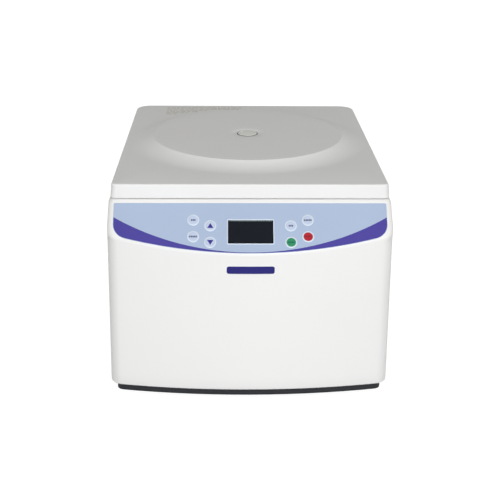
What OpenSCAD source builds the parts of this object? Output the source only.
// Benchtop laboratory centrifuge: a drafted housing with a bowed front and a sloping
// control panel, a hinged lid with a viewing port, and a six-place fixed-angle rotor.
// Millimetres, +Z up, the front faces -Y. The origin is at the centre of the
// bounding box, in the plane that the feet stand on.

/* [Housing] */
// Width across the foot of the housing
body_w = 404; // [402:1:408]
// Width across the top of the housing
body_top_w = 395; // [394:1:400]
// Depth from the middle of the bowed front to the hinge knuckles
depth = 526; // [524:1:530]
// Height of the housing's lower edge
body_z = 21; // [20:0.5:22]
// Height of the housing's top rim
rim_z = 292.5; // [292:0.5:294]
// Radius of the bowed front
bow_r = 1034; // [900:10:1200]
// Thickness of the housing's wall
wall = 3; // [2.5:0.5:3]

/* [Control panel] */
// Slope of the control panel from vertical, in degrees
tilt = 43.2; // [42.5:0.1:44]
// Distance of the panel's top edge behind the front crease
panel_run = 55.7; // [55:0.1:56.5]
// Width of the printed overlay
overlay_w = 380; // [378:1:382]
// Diameter of a key cap
key_d = 12.8; // [12.4:0.1:13]
// How far a key travels
key_travel = 0.6; // [0.4:0.1:0.6]

/* [Lid] */
// Width of the lid at its lower edge
lid_w = 390; // [388:1:391]
// Height of the lid's flat shoulder above the feet
lid_z = 314; // [313:0.5:315]
// Height of the raised plateau above the lid's shoulder
plateau_h = 10; // [9:0.5:10]
// Radius of the plateau's flat top
plateau_r = 150; // [148:1:151]
// Diameter of the viewing port
port_d = 33; // [31:1:34]

/* [Chamber and rotor] */
// Distance of the rotor's axis behind the origin
axis_y = 26; // [25:1:27]
// Inner radius of the chamber
bowl_r = 140; // [138:1:140]
// Number of tube sockets in the rotor
socket_count = 6; // [4:1:6]
// Diameter of a tube socket
socket_d = 30.5; // [29:0.5:30.5]
// Slope of a tube socket from vertical, in degrees
socket_tilt = 25; // [24:1:25]
// Radius of the spindle
spindle_r = 8; // [7:0.5:8]

/* [Hidden] */
$fn = 96;

// Housing
front_y = -depth / 2;
hinge_r = 6;
hinge_y = depth / 2 - hinge_r;
hinge_z = rim_z + 1.5;
rear_y = hinge_y - hinge_r - 1;
panel_y = front_y + panel_run;
front_corner_r = 20;
rear_corner_r = 12;
shoulder_r = 6;
crease_r = 3;
rim_w = 10;
foot_flange_w = 14;
bow_steps = 12;
over = 1;

// Base and feet
tray_z = 10;
tray_floor = 3;
tray_side_inset = 9;
tray_front_inset = 5;
tray_wall = 3;
foot_x = 160;
foot_front_y = -212;
foot_rear_y = 205;
foot_r = 15;

// Deck, chamber and guard
deck_t = 3;
deck_top = rim_z - wall;
bowl_t = 2;
bowl_floor = 138;
bowl_corner = 22;
boot_r = 24;
flange_r = bowl_r + 16;
seal_top = hinge_z + 0.2;
guard_in = 150;
guard_t = 6;

// Rotor: the mouths of the sockets lie on a dished cone
mouth_r = 62;
mouth_z = 232;
socket_depth = 85;
rotor_r = 118;
rotor_z = 146;
rotor_top = 250;
dish_in = 40;
dish_out = 96;
running_gap = 0.05;

// Motor
stator_r = 62;
armature_r = 35;
stator_z = 57;
stator_h = 55;
cap_h = 8;
bearing_r = 16;
damper_span = 58;
plate_z = 44;
plate_t = 5;

// Lid
lid_front_y = panel_y - 0.5;
lid_top_w = lid_w - 4;
lid_wall = 3;
lid_front_r = 8;
lid_rear_r = 24;
lid_edge_r = 2.5;
liner_z = seal_top + 0.4;
liner_t = 2;
plateau_slope = 28;
sweep_tangent = 21.2;
glass_z = lid_z + plateau_h - 5.5;
glass_t = 2;
sleeve_t = 1.5;

// Lid lock
lock_y = -178;
lock_z = 268;
bolt_r = 3.4;
bolt_tip = -5;
bolt_len = 45;
eye_r = 4.4;
striker_t = 3;

// Hinges
hinge_x = 120;
hinge_len = 60;
knuckle_len = 20;
pin_r = 3;
leaf_t = 2.5;

// Panel details: positions are along the panel and up its slope from its top edge
overlay_t = 0.5;
overlay_top = -6.7;
overlay_foot = -80.5;
overlay_arc_r = 690;
overlay_corner_r = 16;
key_col_in = 55.5;
key_col_out = 79;
key_row_out = -32;
key_row_in = -40.4;
key_pitch = 24.5;
key_hole_r = key_d / 2 + 0.5;
ring_out = 8.3;
screen_w = 60.7;
screen_h = 33.2;
screen_v = -49.4;
bezel_w = 2.2;
KEYS = [
    [-key_col_out, key_row_out], [-key_col_out, key_row_out - key_pitch],
    [-key_col_in, key_row_in], [-key_col_in, key_row_in - key_pitch],
    [key_col_in, key_row_in], [key_col_out, key_row_out],
    [key_col_in, key_row_in - key_pitch], [key_col_out, key_row_out - key_pitch]
];

// Rear panel
rear_t = 1.5;
rear_w = 350;
rear_low = 34;
rear_high = 252;
rear_lap = 8;
inlet_x = 130;
inlet_z = 66;
inlet_w = 27;
inlet_h = 19.5;
switch_z = 104;
switch_w = 26;
switch_h = 20;
rocker_tip = 7;

function unit(v) = v / norm(v);

// Points of the arc of radius r that rounds the corner p between its neighbours a and b
function corner(a, p, b, r, n) =
    r <= 0 ? [p] :
    let (u = unit(a - p), w = unit(b - p), half = acos(u * w) / 2)
    let (c = p + unit(u + w) * r / sin(half))
    let (s = p + u * r / tan(half) - c, e = p + w * r / tan(half) - c)
    let (a0 = atan2(s.y, s.x), swing = atan2(e.y, e.x) - a0)
    let (turn = swing > 180 ? swing - 360 : swing < -180 ? swing + 360 : swing)
    [for (i = [0 : n]) c + r * [cos(a0 + turn * i / n), sin(a0 + turn * i / n)]];

// A polygon's points with each corner rounded to its own radius
function rounded(pts, radii, n = 6) =
    let (m = len(pts))
    [for (i = [0 : m - 1]) each corner(pts[(i + m - 1) % m], pts[i], pts[(i + 1) % m], radii[i], n)];

// The bowed front's distance from the origin at x
function bow_y(x) = front_y + bow_r - sqrt(bow_r * bow_r - x * x);

// Plan outline of the housing, set in from the sides and the front
function plan(side, front, rear) =
    let (hw = body_w / 2 - side, reach = hw - front_corner_r - 8)
    let (bow = [for (i = [0 : bow_steps]) -reach + 2 * reach * i / bow_steps])
    let (r1 = max(front_corner_r - side, 3), r2 = max(rear_corner_r - side, 3))
    rounded(
        concat(
            [[-hw, bow_y(hw) + front]],
            [for (x = bow) [x, bow_y(x) + front]],
            [[hw, bow_y(hw) + front], [hw, rear_y - rear], [-hw, rear_y - rear]]),
        concat([r1], [for (x = bow) 0], [r1, r2, r2]));

// Front view of the housing: drafted sides and rounded shoulders
function front_view(t, z0, z1) =
    let (foot = body_w / 2 - t, top = body_top_w / 2 - t, r = max(shoulder_r - t, 0.5))
    rounded([[-foot, z0], [foot, z0], [top, z1], [-top, z1]], [0, 0, r, r]);

// Side view of the housing: upright front, sloping panel, flat top
function side_view(t, z0, z1) =
    let (py = panel_y + t * cos(tilt), pz = rim_z - t * sin(tilt), fy = front_y + t)
    let (crease_z = pz - (py - fy) / tan(tilt))
    rounded(
        [[fy, z0], [fy, crease_z], [py + (z1 - pz) * tan(tilt), z1], [rear_y - t, z1], [rear_y - t, z0]],
        [0, crease_r, 0.6, 1, 0], 3);

module plate(pts, z, h) {
    translate([0, 0, z])
        linear_extrude(h)
            polygon(pts);
}

// The solid that three outlines share
module shaped(plan_pts, front_pts, side_pts, z0, z1) {
    intersection() {
        plate(plan_pts, z0, z1 - z0);
        rotate([90, 0, 0])
            linear_extrude(2 * depth, center = true)
                polygon(front_pts);
        rotate([90, 0, 90])
            linear_extrude(2 * body_w, center = true)
                polygon(side_pts);
    }
}

module housing_solid(t, z0, z1) {
    shaped(plan(t, t, t), front_view(t, z0, z1), side_view(t, z0, z1), z0, z1);
}

// Local axes on the sloping panel: X along it, Y up its slope, Z out of it
module on_panel(u = 0, v = 0, w = 0) {
    translate([0, panel_y, rim_z])
        rotate([90 - tilt, 0, 0])
            translate([u, v, w])
                children();
}

module ring(r_in, r_out, z, h) {
    translate([0, 0, z])
        difference() {
            cylinder(r = r_out, h = h);
            translate([0, 0, -over])
                cylinder(r = r_in, h = h + 2 * over);
        }
}

module on_axis() {
    translate([0, axis_y, 0])
        children();
}

module mirrored_x(x) {
    for (s = [-1, 1])
        translate([s * x, 0, 0])
            children();
}

module block(w, d, h, at = [0, 0, 0]) {
    translate([at.x - w / 2, at.y - d / 2, at.z])
        cube([w, d, h]);
}

module round_box(w, h, r, z, t) {
    plate(rounded([[-w, -h] / 2, [w, -h] / 2, [w, h] / 2, [-w, h] / 2], [r, r, r, r], 5), z, t);
}

// ---- Base ----

module at_feet() {
    for (x = [-foot_x, foot_x], y = [foot_front_y, foot_rear_y])
        translate([x, y, 0])
            children();
}

module at_dampers() {
    for (x = [-damper_span, damper_span], y = [-damper_span, damper_span])
        translate([x, axis_y + y, 0])
            children();
}

function tray_plan(t) = plan(tray_side_inset + t, tray_front_inset + t, tray_side_inset + t);

module base_tray() {
    color("#34363a")
        difference() {
            plate(tray_plan(0), tray_z, body_z - tray_z);
            plate(tray_plan(tray_wall), tray_z + tray_floor, body_z);
            at_feet()
                translate([0, 0, tray_z - over])
                    cylinder(r = 2.2, h = tray_floor + 2 * over);
            at_dampers()
                translate([0, 0, tray_z - over])
                    cylinder(r = 3.2, h = tray_floor + 2 * over);
            for (i = [-5 : 5])
                block(6, 44, tray_floor + 2 * over, [i * 14, axis_y, tray_z - over]);
        }
}

module rubber_feet() {
    color("#1d1e20")
        at_feet()
            difference() {
                cylinder(r1 = foot_r - 2, r2 = foot_r, h = tray_z);
                translate([0, 0, -over])
                    cylinder(r = 5, h = 4 + over);
                translate([0, 0, -over])
                    cylinder(r = 2.2, h = tray_z + 2 * over);
            }
}

module foot_screws() {
    color("silver")
        at_feet() {
            translate([0, 0, 2])
                cylinder(r = 4, h = 2);
            translate([0, 0, 4])
                cylinder(r = 2, h = 14);
        }
}

// ---- Housing ----

module housing_shell() {
    color("#eef1f6")
        difference() {
            housing_solid(0, body_z, rim_z);
            housing_solid(wall, body_z + wall, rim_z - wall);
            plate(plan(foot_flange_w, foot_flange_w, foot_flange_w), body_z - over, wall + 2 * over);
            deck_recess(rim_w, rim_z - wall - over, wall + 2 * over);
            on_panel(0, screen_v, -4)
                round_box(screen_w + 1, screen_h + 1, 1, 0, 5);
            for (k = KEYS)
                on_panel(k.x, k.y, -4)
                    cylinder(r = key_hole_r, h = 5);
            translate([0, rear_y, (rear_low + rear_high) / 2])
                rotate([90, 0, 0])
                    round_box(rear_w - 2 * rear_lap, rear_high - rear_low - 2 * rear_lap, 6, -5, 10);
            at_rear_screws(3)
                cylinder(r = 1.6, h = 10, center = true);
            at_hinges()
                mirrored_x(20)
                    translate([0, rear_y - hinge_y, -24])
                        rotate([90, 0, 0])
                            cylinder(r = 2, h = 20, center = true);
        }
}

// The opening in the housing's top that leaves a rim of width w
module deck_recess(w, z, h) {
    hw = body_top_w / 2 - w;
    front = panel_y + w;
    rear = rear_y - w;
    plate(rounded([[-hw, front], [hw, front], [hw, rear], [-hw, rear]], [12, 12, 12, 12]), z, h);
}

module at_rear_screws(y) {
    for (x = [-1, 0, 1], z = [rear_low + 4, rear_high - 4])
        translate([x * (rear_w / 2 - 4), rear_y + y - 3, z])
            rotate([-90, 0, 0])
                children();
}

module rear_panel() {
    slot_h = 4;
    color("#d9dce0")
        difference() {
            translate([0, rear_y + rear_t, (rear_low + rear_high) / 2])
                rotate([90, 0, 0])
                    round_box(rear_w, rear_high - rear_low, 4, 0, rear_t);
            for (x = [-115, -30], i = [0 : 10])
                translate([x, rear_y, 70 + i * 12])
                    rotate([90, 0, 0])
                        round_box(70, slot_h, slot_h / 2 - 0.1, -3, 6);
            translate([inlet_x, rear_y, inlet_z])
                rotate([90, 0, 0])
                    round_box(inlet_w + 0.6, inlet_h + 0.6, 2, -3, 6);
            translate([inlet_x, rear_y, switch_z])
                rotate([90, 0, 0])
                    round_box(switch_w + 0.6, switch_h + 0.6, 1, -3, 6);
            at_rear_screws(3)
                cylinder(r = 1.6, h = 10, center = true);
        }
}

module rear_screws() {
    color("silver")
        at_rear_screws(3 + rear_t) {
            cylinder(r1 = 3, r2 = 2.2, h = 1.6);
            translate([0, 0, -7])
                cylinder(r = 1.5, h = 7);
        }
}

// ---- Deck and chamber ----

module top_deck() {
    color("#e6e8ea")
        difference() {
            deck_recess(rim_w - 3, deck_top - deck_t, deck_t);
            on_axis()
                translate([0, 0, deck_top - deck_t - over])
                    cylinder(r = bowl_r + 3, h = deck_t + 2 * over, $fn = 180);
            translate([0, lock_y, deck_top])
                round_box(14, 30, 3, -5, 10);
            at_deck_screws()
                cylinder(r = 2.2, h = 10, center = true);
        }
}

module at_deck_screws() {
    for (x = [-170, 170], y = [-170, 225])
        translate([x, y, deck_top])
            children();
}

module deck_screws() {
    color("silver")
        at_deck_screws() {
            cylinder(r1 = 4, r2 = 3, h = 1.8);
            translate([0, 0, -12])
                cylinder(r = 2, h = 12);
        }
}

module chamber_bowl() {
    out = bowl_r + bowl_t;
    low = bowl_floor - bowl_t;
    color("#c9ccd0")
        on_axis()
            rotate_extrude($fn = 180)
                polygon(concat(
                    corner([boot_r, low], [out, low], [out, deck_top], bowl_corner + bowl_t, 8),
                    [[out, deck_top], [flange_r, deck_top], [flange_r, deck_top + 1.5]],
                    [[bowl_r, deck_top + 1.5]],
                    corner([bowl_r, deck_top], [bowl_r, bowl_floor], [boot_r, bowl_floor], bowl_corner, 8),
                    [[boot_r, bowl_floor], [boot_r, low]]));
}

module chamber_seal() {
    color("#26282b")
        on_axis()
            ring(bowl_r + 1, bowl_r + 9, deck_top + 1.5, seal_top - deck_top - 1.5, $fn = 180);
}

module guard_ring() {
    color("#8a8f96")
        on_axis()
            ring(guard_in, guard_in + guard_t, tray_z + tray_floor, 270, $fn = 180);
}

// ---- Motor ----

module motor_plate() {
    color("#9aa0a6")
        difference() {
            translate([0, axis_y, 0])
                round_box(150, 150, 14, plate_z, plate_t);
            on_axis()
                translate([0, 0, plate_z - over])
                    cylinder(r = 20, h = plate_t + 2 * over);
            at_dampers()
                translate([0, 0, plate_z - over])
                    cylinder(r = 3.2, h = plate_t + 2 * over);
        }
}

module vibration_dampers() {
    color("#2a2b2e")
        at_dampers()
            ring(3.2, 13, tray_z + tray_floor, plate_z - tray_z - tray_floor);
}

module damper_bolts() {
    color("silver")
        at_dampers() {
            translate([0, 0, tray_z + 1])
                cylinder(r = 3, h = plate_z + plate_t - tray_z - 1);
            translate([0, 0, plate_z + plate_t])
                cylinder(r = 6, h = 4, $fn = 6);
        }
}

module motor_stator() {
    color("#6f757c")
        on_axis()
            difference() {
                ring(armature_r + 1, stator_r, stator_z, stator_h);
                for (i = [0 : 23])
                    rotate(i * 15)
                        block(3, 4, stator_h - 12, [stator_r, 0, stator_z + 6]);
            }
}

module motor_end_caps() {
    color("#a3a8ae")
        on_axis()
            for (z = [stator_z - cap_h, stator_z + stator_h])
                ring(bearing_r, stator_r, z, cap_h);
}

module motor_bearings() {
    color("silver")
        on_axis()
            for (z = [stator_z - cap_h + 1, stator_z + stator_h + 1])
                ring(spindle_r + running_gap, bearing_r, z, cap_h - 2);
}

module shaft_boot() {
    color("#232427")
        on_axis()
            rotate_extrude()
                polygon([
                    [spindle_r + 1, 128], [boot_r - 4, 128], [boot_r, 134], [boot_r, 138],
                    [boot_r + 5, 138], [boot_r + 5, 140], [spindle_r + 4, 143], [spindle_r + 1, 143]]);
}

// ---- Control panel ----

// The overlay's outline: straight top and sides, an arched foot and rounded lower corners
function overlay_outline() =
    let (hw = overlay_w / 2, r = overlay_corner_r, cy = overlay_foot + overlay_arc_r)
    let (vc = cy - sqrt(pow(overlay_arc_r - r, 2) - pow(hw - r, 2)))
    let (a = atan2(vc - cy, hw - r), n = 24)
    concat(
        [for (i = [0 : 6]) [-hw + r, vc] + r * [cos(180 - i * a / 6), sin(180 - i * a / 6)]],
        [for (i = [1 : n - 1])
            let (b = -180 - a + (180 + 2 * a) * i / n)
            [overlay_arc_r * cos(b), cy + overlay_arc_r * sin(b)]],
        [for (i = [0 : 6]) [hw - r, vc] + r * [cos(a - i * a / 6), sin(a - i * a / 6)]],
        [[hw, overlay_top], [-hw, overlay_top]]);

module control_overlay() {
    color("#c6d4ea")
        difference() {
            on_panel()
                plate(overlay_outline(), 0, overlay_t);
            on_panel(0, screen_v, -1)
                round_box(screen_w, screen_h, 1, 0, 3);
            for (k = KEYS)
                on_panel(k.x, k.y, -1)
                    cylinder(r = key_hole_r, h = 3);
        }
}

module key_rings() {
    color("#e4edf6")
        for (k = KEYS)
            on_panel(k.x, k.y)
                ring(key_hole_r, ring_out, overlay_t, 0.4);
}

module display_bezel() {
    color("#dde6f2")
        on_panel(0, screen_v)
            difference() {
                round_box(screen_w + 2 * bezel_w, screen_h + 2 * bezel_w, 2, overlay_t, 0.6);
                round_box(screen_w, screen_h, 1, 0, 3);
            }
}

module display_window() {
    color("#1b2229")
        on_panel(0, screen_v)
            round_box(screen_w - 0.2, screen_h - 0.2, 1, -1.5, 1.9);
}

module display_module() {
    color("#2e4038")
        on_panel(0, screen_v)
            round_box(78, 46, 2, -12, 8.5);
}

module control_board() {
    color("#1f6b45")
        difference() {
            on_panel(0, screen_v, -7.6)
                block(196, 52, 1.6);
            on_panel(0, screen_v, -9)
                block(79, 47, 4);
        }
}

module board_standoffs() {
    color("silver")
        for (x = [-92, 92], y = [-22, 22])
            on_panel(x, screen_v + y, -6)
                cylinder(r = 2.5, h = 3);
}

module key_switches() {
    color("#303236")
        for (k = KEYS)
            on_panel(k.x, k.y, -6)
                cylinder(r = 2.5, h = 1.2);
}

// A key cap that stands a little proud of the overlay
module key_cap(i, tint) {
    color(tint)
        on_panel(KEYS[i].x, KEYS[i].y)
            rotate_extrude()
                polygon([
                    [0, -3 - key_travel - 0.4], [4, -3 - key_travel - 0.4], [4, -1],
                    [key_d / 2, -1], [key_d / 2, 0.7], [key_d / 2 - 0.4, 1], [0, 1]]);
}

module key_set() { key_cap(0, "#d3dff0"); }
module key_enter() { key_cap(1, "#d3dff0"); }
module key_up() { key_cap(2, "#d3dff0"); }
module key_down() { key_cap(3, "#d3dff0"); }
module key_program() { key_cap(4, "#d3dff0"); }
module key_pulse() { key_cap(5, "#d3dff0"); }
module key_start() { key_cap(6, "#3ea472"); }
module key_stop() { key_cap(7, "#c8303a"); }

// ---- Electronics and rear fittings ----

module driver_board() {
    color("#1f6b45")
        translate([-95, 212, 0]) {
            block(120, 1.6, 110, [0, 0, 40]);
            block(26, 20, 34, [-40, 10.8, 60]);
            block(30, 16, 26, [30, 8.8, 110]);
        }
}

module heat_sink() {
    color("#b4b8bd")
        translate([-95, 211.2, 0]) {
            block(90, 4, 80, [0, -2, 50]);
            for (i = [-5 : 5])
                block(2, 16, 80, [i * 8.6, -12, 50]);
        }
}

// A flat cable from the key board, under the guard and up to the driver board
module ribbon_cable() {
    cable_z = 14;
    color("#8d9096")
        union() {
            block(16, 1, 218, [-88, -236, cable_z]);
            block(102, 16, 1, [-131, -228.5, cable_z]);
            block(16, 429.5, 1, [-174, -5.75, cable_z]);
            block(16, 1, 50, [-174, 208.5, cable_z]);
            block(36, 1, 16, [-164, 208.5, cable_z + 34]);
        }
}

module power_inlet() {
    color("#2b2c2e")
        difference() {
            translate([inlet_x, rear_y + rear_t, inlet_z])
                rotate([90, 0, 0]) {
                    round_box(50, 24, 3, -2.5, 2.5);
                    round_box(inlet_w, inlet_h, 2, 0, 28);
                }
            translate([inlet_x, rear_y + rear_t, inlet_z])
                rotate([90, 0, 0])
                    round_box(24, 16.4, 2, -4, 21);
            mirrored_x(20)
                translate([inlet_x, rear_y, inlet_z])
                    rotate([90, 0, 0])
                        cylinder(r = 1.7, h = 20, center = true);
        }
}

module inlet_pins() {
    color("silver")
        translate([inlet_x, rear_y + rear_t - 17, inlet_z]) {
            mirrored_x(7)
                block(2, 13, 4, [0, 6.5, -6]);
            block(2, 13, 4, [0, 6.5, 2]);
        }
}

module switch_frame() {
    color("#2b2c2e")
        translate([inlet_x, rear_y + rear_t, switch_z])
            rotate([90, 0, 0])
                difference() {
                    union() {
                        round_box(switch_w + 4, switch_h + 4, 2, -1.8, 1.8);
                        round_box(switch_w, switch_h, 1, 0, 20);
                    }
                    round_box(switch_w - 4, switch_h - 4, 0.5, -3, 17);
                }
}

// A rocker with a ridge across its middle, resting with its upper half pressed in
module power_rocker() {
    hw = switch_h / 2 - 2.6;
    color("#17181a")
        translate([inlet_x - (switch_w - 5) / 2, rear_y - 1, switch_z])
            rotate([rocker_tip, 0, 0])
                rotate([90, 0, 90])
                    linear_extrude(switch_w - 5)
                        polygon([[-8, -3], [-8, 3], [1.2, hw], [2.4, 0], [1.2, -hw]]);
}

// ---- Lid lock ----

module lock_bracket() {
    color("#9aa0a6")
        translate([0, lock_y, 0])
            difference() {
                union() {
                    mirrored_x(13)
                        block(6, 22, deck_top - deck_t - 256, [0, 0, 256]);
                    block(32, 22, 3, [0, 0, 253]);
                }
                translate([0, 0, lock_z])
                    rotate([0, 90, 0])
                        cylinder(r = bolt_r + running_gap, h = 60, center = true);
            }
}

module lock_solenoid() {
    color("#4b4f55")
        translate([-58, lock_y, lock_z])
            rotate([0, 90, 0])
                difference() {
                    cylinder(r = 11, h = 34);
                    translate([0, 0, 2])
                        cylinder(r = bolt_r + running_gap, h = 40);
                }
}

module lock_bolt() {
    color("silver")
        translate([bolt_tip - bolt_len, lock_y, lock_z])
            rotate([0, 90, 0]) {
                cylinder(r = bolt_r, h = bolt_len - 2);
                translate([0, 0, bolt_len - 2])
                    cylinder(r1 = bolt_r, r2 = bolt_r - 1, h = 2);
            }
}

// ---- Hinges ----

module at_hinges() {
    for (s = [-1, 1])
        translate([s * hinge_x, hinge_y, hinge_z])
            children();
}

module barrel(x0, x1, r) {
    translate([x0, 0, 0])
        rotate([0, 90, 0])
            cylinder(r = r, h = x1 - x0);
}

module hinge_brackets() {
    end = hinge_len / 2;
    mid = knuckle_len / 2 + 0.5;
    half = (end - mid) / 2;
    leaf_y = rear_y - hinge_y + leaf_t / 2;
    color("#b9bdc2")
        at_hinges()
            difference() {
                union() {
                    block(hinge_len, leaf_t, 28, [0, leaf_y, -36]);
                    for (x = [-mid - half, mid + half]) {
                        barrel(x - half, x + half, hinge_r);
                        block(2 * half, 7, 9, [x, -3.5, -9]);
                    }
                }
                barrel(-end - over, end + over, pin_r);
                translate([0, leaf_y, -24])
                    mirrored_x(20)
                        rotate([90, 0, 0])
                            cylinder(r = 2, h = 10, center = true);
            }
}

module hinge_pins() {
    color("silver")
        at_hinges()
            barrel(-hinge_len / 2 - 1, hinge_len / 2 + 1, pin_r);
}

module hinge_screws() {
    color("silver")
        at_hinges()
            mirrored_x(20)
                translate([0, rear_y - hinge_y + leaf_t, -24])
                    rotate([90, 0, 0]) {
                        translate([0, 0, -1.6])
                            cylinder(r1 = 3, r2 = 3.6, h = 1.6);
                        cylinder(r = 2, h = leaf_t + wall + 3);
                    }
}

module hinge_leaves() {
    half = knuckle_len / 2;
    leaf_y = rear_y - hinge_y + leaf_t / 2;
    color("#b9bdc2")
        at_hinges()
            difference() {
                union() {
                    block(hinge_len, leaf_t, 10, [0, leaf_y, 7.5]);
                    barrel(-half, half, hinge_r);
                    block(2 * half, 7, 10, [0, -3.5, 0]);
                }
                barrel(-half - over, half + over, pin_r + running_gap);
            }
}

// ---- Lid ----

// Plan outline of the lid, set in by t
function lid_plan(t) =
    let (hw = lid_w / 2 - t, r1 = max(lid_front_r - t, 3), r2 = lid_rear_r - t)
    rounded(
        [[-hw, lid_front_y + t], [hw, lid_front_y + t], [hw, rear_y - t], [-hw, rear_y - t]],
        [r1, r1, r2, r2]);

function lid_front_view(t, z0, z1) =
    let (hw0 = lid_w / 2 - t, hw1 = lid_top_w / 2 - t)
    rounded(
        [[-hw0, z0], [hw0, z0], [hw1, z1], [-hw1, z1]],
        [0, 0, lid_edge_r, lid_edge_r], 4);

function lid_side_view(t, z0, z1) =
    let (y0 = lid_front_y + t, y1 = rear_y - t)
    rounded(
        [[y0, z0], [y0 + 0.5, z1], [y1 - 0.5, z1], [y1, z0]],
        [0, lid_edge_r, lid_edge_r, 0], 4);

// The plateau: a flat top, then one concave sweep down to the lid's shoulder
function plateau_profile(t, sink) =
    let (z1 = lid_z + plateau_h - t, z0 = lid_z - t, r = plateau_r - t * tan(plateau_slope / 2))
    let (knee = [r + plateau_h / tan(plateau_slope), z0])
    concat(
        [[0, z0 - sink], [0, z1], [r, z1]],
        corner([r, z1], knee, knee + [50, 0], sweep_tangent / tan(plateau_slope / 2), 12),
        [[knee.x + sweep_tangent, z0 - sink]]);

module lid_shell() {
    color("#eef0f2")
        difference() {
            union() {
                shaped(
                    lid_plan(0),
                    lid_front_view(0, hinge_z, lid_z),
                    lid_side_view(0, hinge_z, lid_z),
                    hinge_z, lid_z);
                on_axis()
                    rotate_extrude($fn = 180)
                        polygon(plateau_profile(0, 1));
            }
            shaped(
                lid_plan(lid_wall),
                lid_front_view(lid_wall, hinge_z - over, lid_z - lid_wall),
                lid_side_view(lid_wall, hinge_z - over, lid_z - lid_wall),
                hinge_z - over, lid_z - lid_wall);
            on_axis()
                rotate_extrude($fn = 180)
                    polygon(plateau_profile(lid_wall, 1));
            on_axis()
                translate([0, 0, lid_z - 10])
                    cylinder(d = port_d, h = 40);
        }
}

module at_lid_screws() {
    for (x = [-176, 176], y = [-190, 20, 222])
        translate([x, y, liner_z])
            children();
}

module lid_liner() {
    color("#d7dadd")
        difference() {
            plate(lid_plan(lid_wall + 0.5), liner_z, liner_t);
            on_axis()
                translate([0, 0, liner_z - over])
                    cylinder(d = port_d, h = liner_t + 2 * over);
            at_lid_screws()
                cylinder(r = 1.6, h = 10, center = true);
        }
}

module window_sleeve() {
    low = liner_z + liner_t;
    color("#e8eaec")
        on_axis()
            ring(port_d / 2, port_d / 2 + sleeve_t, low, lid_z + plateau_h - lid_wall - low);
}

module view_window() {
    color("#cfd8dc", 0.5)
        on_axis()
            translate([0, 0, glass_z])
                cylinder(r = port_d / 2 - 0.1, h = glass_t);
}

module window_gasket() {
    color("#c8cacc")
        on_axis()
            ring(port_d / 2 - 2.5, port_d / 2 - 0.1, glass_z + glass_t, 1);
}

module lid_striker() {
    color("silver")
        translate([0, lock_y, 0])
            difference() {
                union() {
                    block(striker_t, 16, liner_z - 259, [0, 0, 259]);
                    block(24, 20, 1.5, [0, 0, liner_z - 1.5]);
                }
                translate([0, 0, lock_z])
                    rotate([0, 90, 0])
                        cylinder(r = eye_r, h = 10, center = true);
            }
}

module lid_screws() {
    color("silver")
        at_lid_screws() {
            translate([0, 0, -1])
                cylinder(r1 = 2.4, r2 = 3, h = 1);
            cylinder(r = 1.5, h = 12);
        }
}

// ---- Rotor ----

module spindle() {
    color("silver")
        on_axis() {
            translate([0, 0, stator_z - cap_h + 1])
                cylinder(r = spindle_r, h = mouth_z + 6 - stator_z + cap_h);
            ring(spindle_r, spindle_r + 5, 190, 5);
        }
}

module armature() {
    color("#7d838a")
        on_axis()
            ring(spindle_r, armature_r, stator_z + 3, stator_h - 6);
}

module rotor_body() {
    rise = tan(socket_tilt);
    hub = 26;
    color("#b9bec4")
        on_axis()
            difference() {
                rotate_extrude($fn = 180)
                    polygon([
                        [0, mouth_z], [22, mouth_z], [hub, mouth_z + (dish_in - mouth_r) * rise],
                        [dish_in, mouth_z + (dish_in - mouth_r) * rise],
                        [dish_out, mouth_z + (dish_out - mouth_r) * rise], [dish_out + 2, rotor_top],
                        [dish_out + 8, rotor_top], [rotor_r, 178], [rotor_r, rotor_z + 5],
                        [rotor_r - 5, rotor_z], [78, rotor_z], [57, 195], [0, 195]]);
                translate([0, 0, 190])
                    cylinder(r = spindle_r + running_gap, h = 60);
                for (i = [0 : socket_count - 1])
                    rotate(i * 360 / socket_count)
                        translate([mouth_r, 0, mouth_z])
                            rotate([0, 180 - socket_tilt, 0])
                                translate([0, 0, -30])
                                    cylinder(d = socket_d, h = socket_depth + 30);
            }
}

module rotor_knob() {
    color("#2f3237")
        on_axis()
            difference() {
                rotate_extrude()
                    polygon([
                        [0, mouth_z], [12, mouth_z], [12, mouth_z + 5], [20, mouth_z + 6],
                        [20, mouth_z + 15], [18, mouth_z + 17], [0, mouth_z + 17]]);
                translate([0, 0, mouth_z - over])
                    cylinder(r = spindle_r + running_gap, h = 8);
                for (i = [0 : 7])
                    rotate(i * 45)
                        translate([21, 0, mouth_z])
                            cylinder(r = 3, h = 20);
            }
}

base_tray();
rubber_feet();
foot_screws();
housing_shell();
rear_panel();
rear_screws();
top_deck();
deck_screws();
chamber_bowl();
chamber_seal();
guard_ring();
motor_plate();
vibration_dampers();
damper_bolts();
motor_stator();
motor_end_caps();
motor_bearings();
shaft_boot();
control_overlay();
key_rings();
display_bezel();
display_window();
display_module();
control_board();
board_standoffs();
key_switches();
driver_board();
heat_sink();
ribbon_cable();
power_inlet();
inlet_pins();
switch_frame();
lock_bracket();
lock_solenoid();
hinge_brackets();
hinge_pins();
lid_shell();
lid_liner();
view_window();
window_gasket();
window_sleeve();
lid_striker();
hinge_leaves();
hinge_screws();
lid_screws();
spindle();
armature();
rotor_body();
rotor_knob();
power_rocker();
lock_bolt();
key_set();
key_enter();
key_up();
key_down();
key_program();
key_pulse();
key_start();
key_stop();
